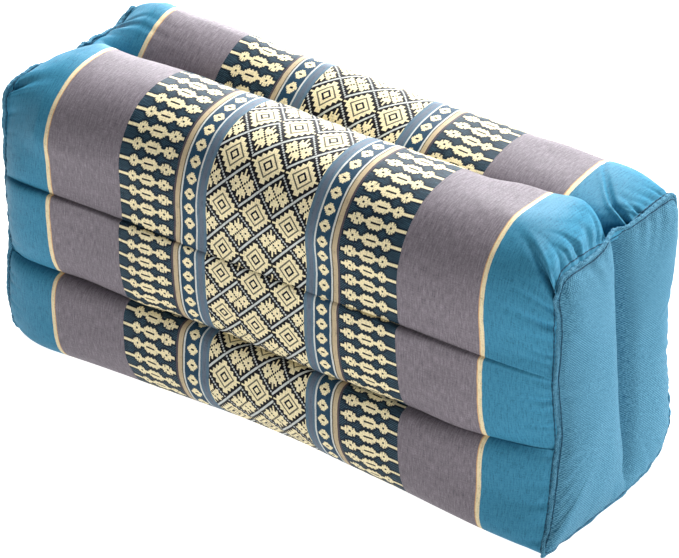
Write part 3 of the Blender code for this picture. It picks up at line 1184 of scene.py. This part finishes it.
def wrapCloth():
    shader = Shader("patterned wrap cloth")
    u, v = shader.uv("cloth")
    place = shader.vector(u, v)

    # where a point lies in the pattern: along the cushion in millimetres, down the cloth in rows
    signedX = u * 1000.0
    stray = shader.noise(place, 320.0, 2.0) - 0.5
    x = abs(signedX + stray * wrap["stray"])
    rowStray = shader.noise(place, 260.0, 2.0) - 0.5
    rows = v * (1000.0 / wrap["row"]) - wrap["rowStart"] + rowStray * wrap["rowStray"]
    away = abs(rows - (rows + 0.5).floor()) * wrap["rowUnits"]

    # threads: long streaks of shade along each warp stripe and along each pick
    warp = shader.noise(shader.vector(u * 1300.0, v * 190.0), 1.0, 2.0)
    weft = shader.noise(shader.vector(u * 190.0, v * 1300.0), 1.0, 2.0)
    speck = shader.noise(place, 1400.0, 1.0)

    # stripes
    tint = wrap[stripes[0].colour]
    for stripe in stripes[1:]:
        tint = shader.mix(x > stripe.inner, tint, wrap[stripe.colour])
    slate = x.between(*wrap["slateMiddle"]) * wrap["slateShare"]
    tint = shader.mix(slate, tint, wrap["slateMauve"])
    ground = x.between(*bands["navy"])
    hatch = ((u + v) * (1000.0 / wrap["hatch"])).fraction() - 0.5
    pale = (abs(hatch) * 4.0 - 1.15 + (weft - 0.5) * 2.0).clipped(0.0, 1.0)
    tint = shader.mix(ground * pale * wrap["hatchShare"], tint, wrap["teal"])

    # the chain of figures, with deeper ground close round it, and the beads
    chain = (chainCentre - x) / wrap["unit"]
    figures = figure(chainLight, chain, away)
    rim = wrap["closeGround"]
    wider = [Box(b.low - rim, b.high + rim, max(b.near - rim, 0.0), b.far + 0.9) for b in chainLight]
    closeGround = figure(wider, chain, away) * ground
    tint = shader.mix(closeGround * wrap["closeShare"], tint, wrap["navyDeep"])
    bead = (x - beadCentre) / wrap["unit"]
    beadBand = x.between(*bands["beadGround"])
    light = (figures * ground).either(figure(beadLight, bead, away) * beadBand)
    dark = (figure(chainDark, chain, away) * ground).either(figure(beadDark, bead, away) * beadBand)

    # the lattice
    masks = latticeMasks(x / wrap["unit"], rows, signedX / wrap["unit"])
    square, ring, dots, beaded, whole, flower = masks
    inLattice = x < latticeHalf
    tint = shader.mix(inLattice, tint, wrap["ink"])
    light = light.either(square.either(flower) * (1.0 - whole) * inLattice)
    dark = dark.either(ring * inLattice)

    # each thread of a light figure is a rounded float, with painted shade at its sides and random darker
    # specks
    cellX = abs((x / wrap["unit"] + 0.5).fraction() - 0.5) * 2.0
    cellS = abs((rows * wrap["rowUnits"] + 0.5).fraction() - 0.5) * 2.0
    edge = (cellX ** 4.0).either(cellS ** 4.0)
    wearAndFloatShade = edge * wrap["floatSideShade"] + (0.5 - speck) * wrap["floatSpecks"]
    tint = shader.mix(light, tint, shader.mix(wearAndFloatShade, wrap["cream"], wrap["creamDark"]))
    tint = shader.mix(dots * inLattice * wrap["dotShare"], tint, wrap["ink"])
    tint = shader.mix(dark, tint, wrap["navyDeep"])
    lines = whole.either(beaded * (1.0 - edge * wrap["beadGap"])) * inLattice
    tint = shader.mix(lines, tint, wrap["white"])

    # uneven dye, paler along some threads and darker along others
    fine = (warp - 0.5) * 2.6 + (weft - 0.5) * 1.0 + (speck - 0.5) * 1.6
    darker, paler = (0.0 - fine).clipped(0.0, 1.0), fine.clipped(0.0, 1.0)
    tint = shader.mix(darker * wrap["shadeShare"], tint, wrap["shade"], "MULTIPLY")
    onMauve = x.between(*bands["mauve"]) * wrap["mauveShare"]
    tint = shader.mix(paler * onMauve, tint, wrap["mauvePale"])
    onBlue = (x > bands["blue"][0]) * wrap["blueShare"]
    tint = shader.mix(paler * onBlue, tint, wrap["bluePale"])

    raised = light.either(lines) - dark
    height = weaveHeight(u, v, weave["thread"]) * (1.0 - light * 0.5) * 0.5
    height = height + (warp + weft) * weave["slub"] + raised * (1.0 - edge * 0.5) * 2.6
    shader.feed(shader.surface.inputs["Base Color"], tint)
    shader.feed(shader.surface.inputs["Normal"], shader.bump(height, weave["depth"]))
    shader.constants(Roughness=wrap["roughness"], Specular_IOR_Level=wrap["specular"])
    return shader.material


# The room: a pale floor that glows a little, a dim world and four soft lights

room = dict(
    floorSize=9.0,
    floor=(0.42, 0.42, 0.42, 1.0),
    floorGlow=1.0,
    world=(1.0, 1.0, 1.0, 1.0),
    worldStrength=0.06,
    aim=(0.0, 0.0, 0.08),
)

# Each light: its place, size and power. All face the middle of the cushion.
lamps = dict(
    overBack=((-0.5, 1.15, 1.7), 1.0, 104.0),
    lowBack=((-1.2, 1.5, 0.6), 0.8, 32.0),
    backRight=((1.1, 1.35, 0.5), 0.4, 35.0),
    frontRight=((1.6, -1.3, 0.6), 0.8, 15.0),
)


def makeRoom():
    size = room["floorSize"]
    corners = [(-size, -size, 0), (size, -size, 0), (size, size, 0), (-size, size, 0)]
    mesh = bpy.data.meshes.new("floor")
    mesh.from_pydata([Vector(corner) for corner in corners], [], [(0, 1, 2, 3)])
    floor = bpy.data.objects.new("floor", mesh)
    bpy.context.scene.collection.objects.link(floor)
    shader = Shader("pale floor")
    shader.constants(Base_Color=room["floor"], Roughness=0.9, Specular_IOR_Level=0.1)
    shader.constants(Emission_Color=room["world"], Emission_Strength=room["floorGlow"])
    mesh.materials.append(shader.material)
    world = bpy.data.worlds.new("studio")
    bpy.context.scene.world = world
    world.use_nodes = True
    background = world.node_tree.nodes["Background"]
    background.inputs["Color"].default_value = room["world"]
    background.inputs["Strength"].default_value = room["worldStrength"]
    for name, (place, width, power) in lamps.items():
        light = bpy.data.lights.new(name, "AREA")
        light.size = width
        light.energy = power
        lamp = bpy.data.objects.new(name, light)
        bpy.context.scene.collection.objects.link(lamp)
        lamp.location = place
        aim = Vector(room["aim"]) - lamp.location
        lamp.rotation_euler = aim.to_track_quat("-Z", "Y").to_euler()


def main():
    wrapMaterial = wrapCloth()
    plainMaterial = plainCloth()
    threadMaterial = threadCloth()
    print("materials made")
    pieces, grids = makeChannels(wrapMaterial)
    for piece in pieces:
        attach(piece, "root")
        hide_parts("cushion_body")
    print("channels made")
    for word, hand in (("left", -1), ("right", 1)):
        cloth, panelGrid = makePanel(word, hand, plainMaterial)
        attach(cloth, "root")
        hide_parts("end_panel_" + word)
        roll = makeWelt(word, hand, plainMaterial)
        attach(roll, "root")
        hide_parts("seam_" + word)
        lines = seamLine(grids, hand), panelGrid[stitching["ring"]]
        for thread in makeStitching(word, hand, lines, threadMaterial):
            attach(thread, "root")
            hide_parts("seam_" + word)
    print("end panels and end seams made")
    makeRoom()
    print("room made")


main()
